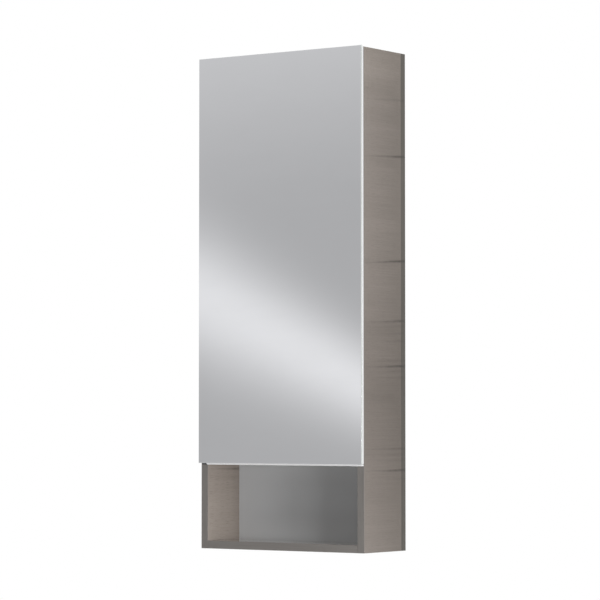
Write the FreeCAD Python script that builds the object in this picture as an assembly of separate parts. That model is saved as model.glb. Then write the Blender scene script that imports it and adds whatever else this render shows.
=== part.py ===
import FreeCAD, Part
import math
import os
from collections import namedtuple

Vector = FreeCAD.Vector
X = Vector(1, 0, 0)
Y = Vector(0, 1, 0)
Z = Vector(0, 0, 1)

# A tall wall-hung mirror cabinet: a cupboard behind one mirror door, and an open niche below it.
# Millimetres. X runs along the wall to the right, Y points into the wall, Z up.
# The origin is on the wall, in the middle of the four screw holes that hold the cabinet.

# Carcass
cabinet_width = 400.0
cabinet_height = 1000.0
side_depth = 134.0             # side boards with their front edging
board_thickness = 16.0
back_thickness = 16.0
edging_thickness = 1.0
edging_radius = 0.7
niche_void = 13.0              # between the grey panel and the back board
niche_panel_thickness = 12.0
shelf_above_door_edge = 3.0    # fixed shelf's underside above the door's lower edge
shelf_setback = 8.0            # fixed shelf's front behind the carcass front
fixing_below_top = 62.0        # wall screw holes below the cabinet's top

# Door
door_bottom = 174.0            # door's lower edge above the cabinet's base
door_rise = 2.0                # door's upper edge above the cabinet's top
door_gap = 1.4
glass_thickness = 4.0
glass_bevel = 0.5
frame_depth = 4.6
frame_width = 28.0
frame_corner_radius = 2.5
rebate_width = 4.5
inner_mirror_thickness = 3.0
pane_clearance = 0.3
grip_drop = 3.0                # part of the grip that shows under the glass
grip_setback = 0.4             # grip's front edge behind the glass's front
grip_edge = 0.6                # upright part of the rail's front, above its chamfer
grip_height = 20.0
grip_thickness = 1.8
grip_lip = 5.0
grip_bend_radius = 0.8
grip_corner_radius = 1.0
grip_end_clearance = 4.0
cap_inset = 9.0                # end cap's outer end from the door's edge
cap_peg_radius = 0.8
cap_peg_length = 5.0
cap_peg_setback = 3.0          # peg's axis in front of the door's back
bumper_radius = 4.0
bumper_thickness = 1.2
bumper_inset = 30.0

# Hinges
hinge_from_door_end = 100.0
pin_inset = 2.3                # hinge pin's axis from the door's edge
pin_radius = 1.0
eye_radius = 2.0
running_clearance = 0.05
arm_thickness = 2.5
arm_length = 58.0
arm_bend_radius = 3.0
neck_height = 9.0
arm_base_height = 16.0
arm_base_start = 10.0          # wide part of the arm starts this far behind the carcass front
eye_height = 6.0
leaf_thickness = 1.5
leaf_height = 22.0
leaf_width = 17.0
leaf_screw_rise = 15.0         # screws from the leaf's end at the arm
leaf_screw_reaches = (7.7, 13.6)
side_play = 0.3
plate_thickness = 2.5
plate_rail_height = 18.0
plate_wing_height = 46.0
plate_wing_width = 14.0
plate_wing_radius = 4.2
plate_screw_line = 37.0        # screw line behind the carcass front
plate_screw_spacing = 32.0
neck_room = 1.0
clamp_screw_behind_line = 12.0
adjusting_screw_before_line = 14.0

# Inside
glass_shelf_names = ("lower_glass_shelf", "middle_glass_shelf", "upper_glass_shelf")
glass_shelf_thickness = 5.0
glass_shelf_depth = 104.0
glass_shelf_corner_radius = 8.0
glass_shelf_end_gap = 1.5
glass_shelf_back_gap = 2.0
shelf_pin_radius = 2.5
shelf_pin_reach = 8.0
shelf_pin_seat = 1.5           # flat seat above the pin's axis
shelf_pin_collar_radius = 4.0
shelf_pin_collar = 1.2
pin_hole_depth = 9.0
pin_hole_pitch = 32.0
spare_pin_holes = 1            # above each pin
pin_row_inset = 22.0           # pin rows from the glass shelf's front and back

# Magnet catch
catch_height = 44.0
catch_width = 14.0
catch_depth = 16.0
catch_corner_radius = 3.5
catch_setback = 0.4
catch_above_door_middle = 40.0
magnet_height = 24.0
magnet_width = 5.0
magnet_depth = 12.0
strike_width = 6.0
strike_height = 38.0
strike_thickness = 1.2
strike_corner_radius = 1.8
strike_inset = 0.5

# Hangers and wall plates
hanger_width = 30.0
hanger_height = 58.0
hanger_depth = 38.0
hanger_wall = 2.5
hanger_top_gap = 2.0
hanger_corner_radius = 4.5
hanger_recess_depth = 24.0
hanger_recess_height = 5.0
hanger_screw_depth = 15.0
hanger_screw_heights = (9.0, 24.0)
hook_width = 16.0
hook_thickness = 3.0
hook_bar_height = 8.0
hook_drop = 8.0
hook_reach = 30.0
hook_bend_radius = 1.8
wall_plate_width = 40.0
wall_plate_thickness = 2.0
wall_plate_below = 22.0
wall_plate_bend = 14.0
wall_plate_slot = 5.0
wall_plate_lip = 12.0
wall_plate_corner_radius = 4.0
wall_hole_radius = 3.25
wall_hole_spacing = 20.0
pocket_margin = 3.0
pocket_below = 28.0
pocket_above = 8.0
pocket_depth = 9.0             # in the back board, from the wall
adjuster_radius = 4.0
adjuster_length = 26.0
adjuster_recess = 1.0
adjuster_spacing = 13.0

# Fasteners
Screw = namedtuple("Screw", "shank head length")
board_screw = Screw(shank=1.75, head=3.6, length=38.0)
plate_screw = Screw(shank=2.5, head=4.2, length=12.0)
leaf_screw = Screw(shank=1.2, head=2.2, length=2.8)
catch_screw = Screw(shank=1.6, head=3.0, length=24.0)
strike_screw = Screw(shank=1.1, head=1.9, length=4.0)
hanger_screw = Screw(shank=2.0, head=3.8, length=13.0)
clamp_screw = Screw(shank=2.0, head=3.6, length=8.0)
clamp_head_height = 2.0
adjusting_screw_radius = 2.0
adjusting_screw_length = 4.0
dowel_radius = 4.0
dowel_in_side = 11.0
dowel_in_board = 17.0
dowel_inset = 30.0
dowel_end_room = 0.5
niche_dowel_radius = 3.0
fit_clearance = 0.05
fastener_sides = 8             # screws, shelf pins and their holes are faceted
dowel_sides = 6                # so are the dowels
button_sides = 12              # and the bumpers and the hangers' adjusting screws
back_screw_inset = 40.0
back_screw_below_pocket = 16.0
back_screws_per_side = 4

tolerance = 1e-6

# Places worked out from the sizes above
half_width = cabinet_width / 2
inner_half = half_width - board_thickness
carcass_front = -(back_thickness + side_depth)
back_front = -back_thickness
top = fixing_below_top
base = top - cabinet_height
door_back = carcass_front - door_gap
frame_front = door_back - frame_depth
door_front = frame_front - glass_thickness
door_low = base + door_bottom
door_high = top + door_rise
door_middle = (door_low + door_high) / 2
shelf_low = door_low + shelf_above_door_edge
cap_peg_foot = Vector(grip_end_clearance - inner_half, door_back - cap_peg_setback, door_low - grip_drop / 2)
shelf_high = shelf_low + board_thickness
shelf_front = carcass_front + shelf_setback
niche_front = back_front - niche_void - niche_panel_thickness
niche_middle = niche_front + niche_panel_thickness / 2
cupboard_top = top - board_thickness
pin_x = -half_width + pin_inset
pin_y = door_back - frame_depth / 2
arm_left = -inner_half + plate_thickness
arm_right = arm_left + arm_thickness
hinge_heights = {
    "lower": door_low + hinge_from_door_end,
    "upper": door_high - hinge_from_door_end,
}
leaf_back = pin_y + eye_radius
leaf_end = pin_x + leaf_width
plate_screw_y = carcass_front + plate_screw_line
glass_shelf_back = back_front - glass_shelf_back_gap
glass_shelf_front = glass_shelf_back - glass_shelf_depth
shelf_step = (cupboard_top - shelf_high) / (len(glass_shelf_names) + 1)
glass_shelf_heights = [shelf_high + shelf_step * (n + 1) for n in range(len(glass_shelf_names))]
pin_rows = (glass_shelf_front + pin_row_inset, glass_shelf_back - pin_row_inset)
catch_middle = door_middle + catch_above_door_middle
catch_front = carcass_front + catch_setback
strike_right = inner_half - strike_inset
strike_middle = strike_right - strike_width / 2
hanger_high = cupboard_top - hanger_top_gap
hanger_low = hanger_high - hanger_height
hanger_front = back_front - hanger_depth
hanger_x = inner_half - hanger_width / 2
lip_top = wall_plate_bend + wall_plate_lip
lip_back = -wall_plate_slot
lip_front = lip_back - wall_plate_thickness
hook_low = lip_top
hook_high = hook_low + hook_bar_height
sides = {"left": -1, "right": 1}


def block(x0, x1, y0, y1, z0, z1):
    """Box between two corners, given in any order along each axis."""
    low = Vector(min(x0, x1), min(y0, y1), min(z0, z1))
    return Part.makeBox(abs(x1 - x0), abs(y1 - y0), abs(z1 - z0), low)


def rod(radius, start, direction, length):
    return Part.makeCylinder(radius, length, start, direction)


def faceted_rod(sections, start, direction, count):
    """Flat-sided rod through regular polygons, each given by its distance along the axis and its radius."""
    across = X if abs(direction.z) > 0.5 else Z
    along = direction.cross(across)
    turns = [2 * math.pi * (n + 0.5) / count for n in range(count)]
    rings = []
    for distance, radius in sections:
        centre = start + direction * distance
        rings.append([centre + across * radius * math.cos(t) + along * radius * math.sin(t) for t in turns])
    outlines = [rings[0], rings[-1]]
    for near, far in zip(rings, rings[1:]):
        for n in range(count):
            m = (n + 1) % count
            outlines.append([near[n], near[m], far[m], far[n]])
    faces = [Part.Face(Part.makePolygon(points + points[:1])) for points in outlines]
    solid = Part.makeSolid(Part.makeShell(faces))
    return solid if solid.Volume > 0 else solid.reversed()


def faceted_peg(radius, start, direction, length, count):
    return faceted_rod([(0, radius), (length, radius)], start, direction, count)


def fillet_along(shape, direction, radius, wanted=lambda point: True):
    """Round the straight edges that run along a direction and pass the test on their middle."""
    edges = []
    for edge in shape.Edges:
        if len(edge.Vertexes) != 2:
            continue
        run = edge.Vertexes[1].Point - edge.Vertexes[0].Point
        middle = (edge.Vertexes[1].Point + edge.Vertexes[0].Point) * 0.5
        if run.cross(direction).Length < tolerance and wanted(middle):
            edges.append(edge)
    return shape.makeFillet(radius, edges)


def countersunk(size, point, direction, clearance=0.0):
    """Countersunk screw, or its hole, with its head's face at a point."""
    shank = size.shank + clearance
    head = size.head + clearance
    sections = [(0, head), (size.head - size.shank, shank), (size.length + clearance, shank)]
    return faceted_rod(sections, point, direction, fastener_sides)


def holes_for(size, places, clearance):
    return [countersunk(size, point, direction, clearance) for point, direction in places]


def group(solids):
    return Part.makeCompound(solids)


# Where the fasteners sit

def dowel_places():
    """Joints of the boards with the side boards: side sign, depth and height of each dowel."""
    places = []
    rows = (
        (base + board_thickness / 2, carcass_front),
        (top - board_thickness / 2, carcass_front),
        (shelf_low + board_thickness / 2, shelf_front),
    )
    for height, front in rows:
        for depth in (front + dowel_inset, back_front - dowel_inset):
            for sign in sides.values():
                places.append((sign, depth, height))
    return places


def niche_dowel_places():
    low = base + board_thickness + dowel_inset
    high = shelf_low - dowel_inset
    return [(sign, niche_middle, height) for height in (low, high) for sign in sides.values()]


def dowel(radius, sign, depth, height, extra=0.0):
    start = Vector(sign * (inner_half - dowel_in_board - extra), depth, height)
    length = dowel_in_board + dowel_in_side + 2 * extra
    return faceted_peg(radius, start, X * sign, length, dowel_sides)


def dowel_holes(radius, places):
    return [dowel(radius + fit_clearance, *place, extra=dowel_end_room) for place in places]


def back_screw_places():
    places = []
    low = base + back_screw_inset
    span = -pocket_below - back_screw_below_pocket - low
    for sign in sides.values():
        for n in range(back_screws_per_side):
            height = low + span * n / (back_screws_per_side - 1)
            places.append((Vector(sign * (half_width - board_thickness / 2), 0, height), -Y))
        for underside in (base, shelf_low, top - board_thickness):
            places.append((Vector(sign * inner_half / 2, 0, underside + board_thickness / 2), -Y))
    return places


def plate_screw_places():
    places = []
    for height in hinge_heights.values():
        for step in (-1, 1):
            z = height + step * plate_screw_spacing / 2
            places.append((Vector(arm_left, plate_screw_y, z), -X))
    return places


def leaf_screw_places():
    places = []
    for height in hinge_heights.values():
        for step in (-1, 1):
            middle = height + step * (neck_height / 2 + side_play + leaf_screw_rise)
            for reach in leaf_screw_reaches:
                places.append((Vector(pin_x + reach, leaf_back, middle), -Y))
    return places


def catch_screw_places():
    x = inner_half - catch_width
    y = catch_front + catch_depth / 2
    reach = (catch_height + magnet_height) / 4
    return [(Vector(x, y, catch_middle + step * reach), X) for step in (-1, 1)]


def strike_screw_places():
    reach = strike_height / 2 - strike_screw.head * 2
    y = door_back + strike_thickness
    return [(Vector(strike_middle, y, catch_middle + step * reach), -Y) for step in (-1, 1)]


def hanger_screw_places():
    places = []
    for sign in sides.values():
        x = sign * (inner_half - hanger_wall)
        y = hanger_front + hanger_screw_depth
        for height in hanger_screw_heights:
            places.append((Vector(x, y, hanger_low + height), X * sign))
    return places


def shelf_pin_places():
    places = []
    for height in glass_shelf_heights:
        for y in pin_rows:
            for sign in sides.values():
                places.append((sign, y, height - shelf_pin_seat))
    return places


# Carcass boards

def side_board(name):
    sign = sides[name]
    front = carcass_front + edging_thickness
    board = block(sign * inner_half, sign * half_width, front, back_front, base, top)
    cuts = dowel_holes(dowel_radius, dowel_places()) + dowel_holes(niche_dowel_radius, niche_dowel_places())
    cuts += holes_for(board_screw, back_screw_places(), fit_clearance)
    cuts += holes_for(hanger_screw, hanger_screw_places(), fit_clearance)
    if name == "left":
        cuts += holes_for(plate_screw, plate_screw_places(), fit_clearance)
        cuts += [clamp_screw_shank(height, fit_clearance) for height in hinge_heights.values()]
    else:
        cuts += holes_for(catch_screw, catch_screw_places(), fit_clearance)
    for pin_sign, y, height in shelf_pin_places():
        if pin_sign == sign:
            for step in range(spare_pin_holes + 1):
                start = Vector(sign * inner_half, y, height + step * pin_hole_pitch)
                radius = shelf_pin_radius + fit_clearance
                cuts.append(faceted_peg(radius, start, X * sign, pin_hole_depth, fastener_sides))
    return board.cut(cuts)


def level_board(low, front):
    board = block(-inner_half, inner_half, front + edging_thickness, back_front, low, low + board_thickness)
    cuts = dowel_holes(dowel_radius, dowel_places())
    return board.cut(cuts + holes_for(board_screw, back_screw_places(), fit_clearance))


def level_edging(low, front):
    strip = block(-inner_half, inner_half, front, front + edging_thickness, low, low + board_thickness)
    return fillet_along(strip, X, edging_radius, lambda point: abs(point.y - front) < tolerance)


def side_edging(name):
    sign = sides[name]
    back = carcass_front + edging_thickness
    strip = block(sign * inner_half, sign * half_width, carcass_front, back, base, top)
    return fillet_along(strip, Z, edging_radius, lambda point: abs(point.y - carcass_front) < tolerance)


def hanger_pocket(name):
    """Pocket in the back board for the wall plate, with a way through it for the hook."""
    x = sides[name] * hanger_x
    reach = wall_plate_width / 2 + pocket_margin
    pocket = block(x - reach, x + reach, 0, -pocket_depth, -pocket_below, hook_high + pocket_above)
    half = hook_width / 2 + pocket_margin
    way = block(x - half, x + half, 0, back_front, hook_low - pocket_margin, hook_high + pocket_margin)
    return pocket.fuse(way)


def back_board():
    edge = half_width - edging_thickness
    board = block(-edge, edge, 0, back_front, base, top)
    cuts = [hanger_pocket(name) for name in sides]
    return board.cut(cuts + holes_for(board_screw, back_screw_places(), fit_clearance))


def back_edging(name):
    sign = sides[name]
    return block(sign * (half_width - edging_thickness), sign * half_width, 0, back_front, base, top)


def niche_back_panel():
    panel = block(-inner_half, inner_half, niche_front, niche_front + niche_panel_thickness,
                  base + board_thickness, shelf_low)
    return panel.cut(dowel_holes(niche_dowel_radius, niche_dowel_places()))


# Glass shelves on their pins

def glass_shelf(height):
    half = inner_half - glass_shelf_end_gap
    shelf = block(-half, half, glass_shelf_front, glass_shelf_back, height, height + glass_shelf_thickness)
    middle = (glass_shelf_front + glass_shelf_back) / 2
    return fillet_along(shelf, Z, glass_shelf_corner_radius, lambda point: point.y < middle)


def shelf_pin(sign, y, height):
    foot = Vector(sign * (inner_half - shelf_pin_reach), y, height)
    length = shelf_pin_reach + pin_hole_depth - fit_clearance
    pin = faceted_peg(shelf_pin_radius, foot, X * sign, length, fastener_sides)
    seat = block(foot.x, sign * (inner_half - shelf_pin_collar), y - shelf_pin_radius, y + shelf_pin_radius,
                 height + shelf_pin_seat, height + shelf_pin_radius)
    collar_foot = Vector(sign * (inner_half - shelf_pin_collar), y, height)
    collar = faceted_peg(shelf_pin_collar_radius, collar_foot, X * sign, shelf_pin_collar, fastener_sides)
    return pin.cut(seat).fuse(collar)


# Door

def mirror_glass():
    glass = block(-half_width, half_width, door_front, frame_front, door_low, door_high)
    front_edges = [edge for edge in glass.Edges if abs(edge.CenterOfMass.y - door_front) < tolerance]
    return glass.makeChamfer(glass_bevel, front_edges)


def frame_ring():
    """The whole frame before it is cut into four mitred profiles."""
    ring = block(-half_width, half_width, frame_front, door_back, door_low, door_high)
    ring = fillet_along(ring, Y, frame_corner_radius)
    inset = half_width - frame_width
    light = block(-inset, inset, frame_front, door_back, door_low + frame_width, door_high - frame_width)
    reach = inset + rebate_width
    rebate = block(-reach, reach, door_back - inner_mirror_thickness, door_back,
                   door_low + frame_width - rebate_width, door_high - frame_width + rebate_width)
    return ring.cut([light, rebate])


def hinge_cuts(height):
    """Room in the hinge-side profile for the arm's neck, the eyes and the leaves of one hinge."""
    outside = -half_width - neck_room
    neck = neck_height / 2 + 2 * side_play
    eyes = neck_height / 2 + side_play + eye_height + side_play
    leaves = neck_height / 2 + side_play + leaf_height
    pocket = leaf_back - leaf_thickness
    return [
        block(outside, arm_right + neck_room, frame_front, door_back, height - neck, height + neck),
        block(outside, pin_x + eye_radius + side_play, frame_front, door_back, height - eyes, height + eyes),
        block(outside, leaf_end + fit_clearance, pocket, door_back, height - leaves, height + leaves),
    ]


def frame_profile(place):
    """One mitred profile: left is the hinge side."""
    low = Vector(-half_width, frame_front, door_low)
    high = Vector(half_width, frame_front, door_high)
    w = frame_width
    outlines = {
        "left": [(low.x, low.z), (low.x + w, low.z + w), (low.x + w, high.z - w), (low.x, high.z)],
        "right": [(high.x, low.z), (high.x - w, low.z + w), (high.x - w, high.z - w), (high.x, high.z)],
        "bottom": [(low.x, low.z), (low.x + w, low.z + w), (high.x - w, low.z + w), (high.x, low.z)],
        "top": [(low.x, high.z), (low.x + w, high.z - w), (high.x - w, high.z - w), (high.x, high.z)],
    }
    points = [Vector(x, frame_front, z) for x, z in outlines[place]]
    wedge = Part.Face(Part.makePolygon(points + points[:1])).extrude(Y * frame_depth)
    profile = frame_ring().common(wedge)
    cuts = []
    if place == "left":
        for height in hinge_heights.values():
            cuts += hinge_cuts(height)
        cuts += holes_for(leaf_screw, leaf_screw_places(), fit_clearance)
    if place == "right":
        cuts += holes_for(strike_screw, strike_screw_places(), fit_clearance)
    return profile.cut(cuts) if cuts else profile


def inner_mirror():
    reach = half_width - frame_width + rebate_width - pane_clearance
    rise = frame_width - rebate_width + pane_clearance
    front = door_back - inner_mirror_thickness
    return block(-reach, reach, front, door_back, door_low + rise, door_high - rise)


def rail_bar(start, end):
    """Part of the rail under the glass between two places along the door."""
    low = door_low - grip_drop
    front = door_front + grip_setback
    chamfer = grip_drop - grip_edge
    outline = [(door_back, door_low), (front, door_low), (front, low + chamfer)]
    outline += [(front + chamfer, low), (door_back, low)]
    points = [Vector(start, y, z) for y, z in outline]
    return Part.Face(Part.makePolygon(points + points[:1])).extrude(X * (end - start))


def finger_grip():
    """Chamfered rail under the glass, as far as the free edge, and an angle behind it for the fingers."""
    reach = inner_half - grip_end_clearance
    low = door_low - grip_drop
    back = door_back + grip_thickness
    rail = rail_bar(-reach, half_width)
    rail = fillet_along(rail, Y, grip_corner_radius, lambda point: point.x > reach)
    rail = rail.cut(rod(cap_peg_radius + running_clearance, cap_peg_foot, X, cap_peg_length))
    web = block(-reach, reach, door_back, back, low, low + grip_height)
    lip = block(-reach, reach, door_back, back + grip_lip, low, low + grip_thickness)
    angle = fillet_along(web.fuse(lip).removeSplitter(), X, grip_bend_radius,
                         lambda point: point.y > back + tolerance)
    return rail.fuse(angle).removeSplitter()


def grip_end_cap():
    """Moulded end of the rail at the hinge side, held by a peg in the rail."""
    bar = rail_bar(-half_width + cap_inset, cap_peg_foot.x)
    peg = faceted_peg(cap_peg_radius, cap_peg_foot, X, cap_peg_length, dowel_sides)
    return bar.fuse(peg)


def door_bumpers():
    x = half_width - board_thickness / 2
    feet = [Vector(x, door_back, z) for z in (door_low + bumper_inset, door_high - bumper_inset)]
    return group([faceted_peg(bumper_radius, foot, Y, bumper_thickness, button_sides) for foot in feet])


# Hinges

def hinge_arm(height):
    """Cranked strap: along the mounting plate, out past the board's edge, then back to the pin."""
    neck = neck_height / 2
    wide = arm_base_height / 2
    neck_front = pin_y - arm_thickness / 2
    neck_back = pin_y + arm_thickness / 2
    end = carcass_front + arm_length
    run = block(arm_left, arm_right, neck_front, end, height - neck, height + neck)
    base_plate = block(arm_left, arm_right, carcass_front + arm_base_start, end, height - wide, height + wide)
    cross = block(pin_x, arm_right, neck_front, neck_back, height - neck, height + neck)
    strap = run.fuse([base_plate, cross]).removeSplitter()
    bend = Vector(arm_right, neck_front, height)
    strap = fillet_along(strap, Z, arm_bend_radius, lambda point: point.distanceToPoint(bend) < tolerance)
    eye = rod(eye_radius, Vector(pin_x, pin_y, height - neck), Z, neck_height)
    pin_hole = rod(pin_radius + fit_clearance / 2, Vector(pin_x, pin_y, height - neck), Z, neck_height)
    screw_holes = [clamp_screw_shank(height, fit_clearance), adjusting_screw_body(height, fit_clearance)]
    return strap.fuse(eye).cut([pin_hole] + screw_holes)


def clamp_screw_shank(height, clearance=0.0):
    y = plate_screw_y + clamp_screw_behind_line
    start = Vector(arm_right, y, height)
    length = clamp_screw.length + clearance
    return faceted_peg(clamp_screw.shank + clearance, start, -X, length, fastener_sides)


def clamp_screw_body(height):
    y = plate_screw_y + clamp_screw_behind_line
    head = faceted_peg(clamp_screw.head, Vector(arm_right, y, height), X, clamp_head_height, fastener_sides)
    return head.fuse(clamp_screw_shank(height))


def adjusting_screw_body(height, clearance=0.0):
    y = plate_screw_y - adjusting_screw_before_line
    start = Vector(arm_left, y, height)
    return faceted_peg(adjusting_screw_radius + clearance, start, X, adjusting_screw_length, fastener_sides)


def mounting_plate(height):
    rail = plate_rail_height / 2
    wing = plate_wing_height / 2
    start = carcass_front + arm_base_start
    end = carcass_front + arm_length
    plate = block(-inner_half, arm_left, start, end, height - rail, height + rail)
    near = plate_screw_y - plate_wing_width / 2
    wings = block(-inner_half, arm_left, near, near + plate_wing_width, height - wing, height + wing)
    wings = fillet_along(wings, X, plate_wing_radius)
    cuts = holes_for(plate_screw, plate_screw_places(), fit_clearance)
    return plate.fuse(wings).removeSplitter().cut(cuts + [clamp_screw_shank(height, fit_clearance)])


def hinge_pin(height):
    reach = neck_height / 2 + side_play + eye_height
    return rod(pin_radius, Vector(pin_x, pin_y, height - reach), Z, 2 * reach)


def hinge_leaf(height, step):
    """Leaf with its rolled eye, above (step 1) or below (step -1) the arm."""
    start = height + step * (neck_height / 2 + side_play)
    eye = rod(eye_radius, Vector(pin_x, pin_y, start), Z * step, eye_height)
    leaf = block(pin_x, leaf_end, leaf_back - leaf_thickness, leaf_back, start, start + step * eye_height)
    ear = block(pin_x + eye_radius + side_play, leaf_end, leaf_back - leaf_thickness, leaf_back,
                start, start + step * leaf_height)
    bore = rod(pin_radius + running_clearance, Vector(pin_x, pin_y, start), Z * step, eye_height)
    body = eye.fuse([leaf, ear]).removeSplitter()
    return body.cut([bore] + holes_for(leaf_screw, leaf_screw_places(), fit_clearance))


# Magnet catch

def magnet_block():
    x = strike_middle
    return block(x - magnet_width / 2, x + magnet_width / 2, catch_front, catch_front + magnet_depth,
                 catch_middle - magnet_height / 2, catch_middle + magnet_height / 2)


def catch_housing():
    body = block(inner_half - catch_width, inner_half, catch_front, catch_front + catch_depth,
                 catch_middle - catch_height / 2, catch_middle + catch_height / 2)
    edge = inner_half - catch_width
    body = fillet_along(body, Y, catch_corner_radius, lambda point: abs(point.x - edge) < tolerance)
    return body.cut([magnet_block()] + holes_for(catch_screw, catch_screw_places(), fit_clearance))


def strike_plate():
    plate = block(strike_right - strike_width, strike_right, door_back, door_back + strike_thickness,
                  catch_middle - strike_height / 2, catch_middle + strike_height / 2)
    plate = fillet_along(plate, Y, strike_corner_radius)
    return plate.cut(holes_for(strike_screw, strike_screw_places(), fit_clearance))


# Hangers and wall plates

def hook(name):
    """Steel bar out of the hanger, over the wall plate's lip and down behind it."""
    x = sides[name] * hanger_x
    half = hook_width / 2
    tail = back_front - hook_reach
    bar = block(x - half, x + half, tail, lip_back + hook_thickness, hook_low, hook_high)
    tongue = block(x - half, x + half, lip_back + fit_clearance, lip_back + hook_thickness,
                   hook_low - hook_drop, hook_high)
    bar = bar.fuse(tongue).removeSplitter()
    bend = Vector(x, lip_back + hook_thickness, hook_high)
    return fillet_along(bar, X, hook_bend_radius, lambda point: point.distanceToPoint(bend) < tolerance)


def wall_plate(name):
    """Flat plate with a joggled lip that the hook drops over."""
    x = sides[name] * hanger_x
    half = wall_plate_width / 2
    flat = block(x - half, x + half, -wall_plate_thickness, 0, -wall_plate_below, wall_plate_bend)
    flat = fillet_along(flat, Y, wall_plate_corner_radius, lambda point: point.z < 0)
    step = block(x - half, x + half, lip_front, 0, wall_plate_bend - wall_plate_thickness, wall_plate_bend)
    lip = block(x - half, x + half, lip_front, lip_back, wall_plate_bend - wall_plate_thickness, lip_top)
    plate = flat.fuse([step, lip]).removeSplitter()
    holes = []
    for height in (-wall_hole_spacing / 2, wall_hole_spacing / 2):
        holes.append(rod(wall_hole_radius, Vector(x, -wall_plate_thickness, height), Y, wall_plate_thickness))
    return plate.cut(holes)


def adjuster(name, level):
    """Screw that faces the inside of the cupboard: level -1 sets the depth, level -2 the height."""
    front = hanger_front + adjuster_recess
    start = Vector(sides[name] * hanger_x, front, hook_low + level * adjuster_spacing)
    return faceted_peg(adjuster_radius, start, Y, adjuster_length, button_sides)


def adjuster_hole(name, level):
    start = Vector(sides[name] * hanger_x, hanger_front, hook_low + level * adjuster_spacing)
    length = adjuster_recess + adjuster_length
    return faceted_peg(adjuster_radius + fit_clearance, start, Y, length, button_sides)


def hanger_housing(name):
    sign = sides[name]
    x = sign * inner_half
    body = block(x, x - sign * hanger_width, hanger_front, back_front, hanger_low, hanger_high)
    edge = abs(x) - hanger_width
    corner = Vector(sign * edge, hanger_front, (hanger_low + hanger_high) / 2)
    body = fillet_along(body, Z, hanger_corner_radius,
                        lambda point: point.distanceToPoint(corner) < tolerance)
    half = hook_width / 2 + fit_clearance
    tail = back_front - hook_reach - fit_clearance
    slot = block(sign * hanger_x - half, sign * hanger_x + half, tail, back_front,
                 hook_low - fit_clearance, hook_high + fit_clearance)
    shelf = hanger_low + hanger_wall
    recess = block(x - sign * hanger_wall, x - sign * hanger_width,
                   hanger_front, hanger_front + hanger_recess_depth, shelf, shelf + hanger_recess_height)
    cuts = [slot, recess, adjuster_hole(name, -1), adjuster_hole(name, -2)]
    return body.cut(cuts + hanger_screw_wells(sign))


def hanger_screw_wells(sign):
    """Screw holes, each with an open well so that a screwdriver reaches the head."""
    wells = []
    for point, direction in hanger_screw_places():
        if direction.x * sign > 0:
            wells.append(countersunk(hanger_screw, point, direction, fit_clearance))
            radius = hanger_screw.head + fit_clearance
            wells.append(faceted_peg(radius, point, -direction, hanger_width, fastener_sides))
    return wells


def screws(size, places):
    return group([countersunk(size, point, direction) for point, direction in places])


nodes = {
    "top_board": level_board(top - board_thickness, carcass_front),
    "bottom_board": level_board(base, carcass_front),
    "fixed_shelf": level_board(shelf_low, shelf_front),
    "back_board": back_board(),
    "niche_back_panel": niche_back_panel(),
    "top_front_edging": level_edging(top - board_thickness, carcass_front),
    "bottom_front_edging": level_edging(base, carcass_front),
    "shelf_front_edging": level_edging(shelf_low, shelf_front),
    "corner_dowels": group([dowel(dowel_radius, *place) for place in dowel_places()]),
    "niche_panel_dowels": group([dowel(niche_dowel_radius, *place) for place in niche_dowel_places()]),
    "back_screws": screws(board_screw, back_screw_places()),
    "shelf_pins": group([shelf_pin(*place) for place in shelf_pin_places()]),
    "mirror_glass": mirror_glass(),
    "inner_mirror": inner_mirror(),
    "hinge_side_profile": frame_profile("left"),
    "free_side_profile": frame_profile("right"),
    "lower_profile": frame_profile("bottom"),
    "upper_profile": frame_profile("top"),
    "finger_grip": finger_grip(),
    "grip_end_cap": grip_end_cap(),
    "door_bumpers": door_bumpers(),
    "hinge_plate_screws": screws(plate_screw, plate_screw_places()),
    "hinge_clamp_screws": group([clamp_screw_body(z) for z in hinge_heights.values()]),
    "hinge_adjusting_screws": group([adjusting_screw_body(z) for z in hinge_heights.values()]),
    "hinge_pins": group([hinge_pin(z) for z in hinge_heights.values()]),
    "hinge_leaf_screws": screws(leaf_screw, leaf_screw_places()),
    "catch_housing": catch_housing(),
    "catch_magnet": magnet_block(),
    "catch_screws": screws(catch_screw, catch_screw_places()),
    "strike_plate": strike_plate(),
    "strike_screws": screws(strike_screw, strike_screw_places()),
    "hanger_height_screws": group([adjuster(name, -2) for name in sides]),
    "hanger_depth_screws": group([adjuster(name, -1) for name in sides]),
    "hanger_housing_screws": screws(hanger_screw, hanger_screw_places()),
}
for name in sides:
    nodes[name + "_side_board"] = side_board(name)
    nodes[name + "_front_edging"] = side_edging(name)
    nodes[name + "_back_edging"] = back_edging(name)
    nodes[name + "_hanger_housing"] = hanger_housing(name)
    nodes[name + "_hanger_hook"] = hook(name)
    nodes[name + "_wall_plate"] = wall_plate(name)
for name, height in hinge_heights.items():
    nodes[name + "_hinge_plate"] = mounting_plate(height)
    nodes[name + "_hinge_arm"] = hinge_arm(height)
    nodes[name + "_hinge_leaves"] = group([hinge_leaf(height, step) for step in (-1, 1)])
for name, height in zip(glass_shelf_names, glass_shelf_heights):
    nodes[name] = glass_shelf(height)

os.makedirs("parts", exist_ok=True)
for name, shape in nodes.items():
    shape.exportStep("parts/" + name + ".step")
    print(name, "solids", len(shape.Solids), "volume", round(shape.Volume, 1), "valid", shape.isValid())
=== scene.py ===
import math
import bmesh
import bpy
from mathutils import Matrix, Vector


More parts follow.
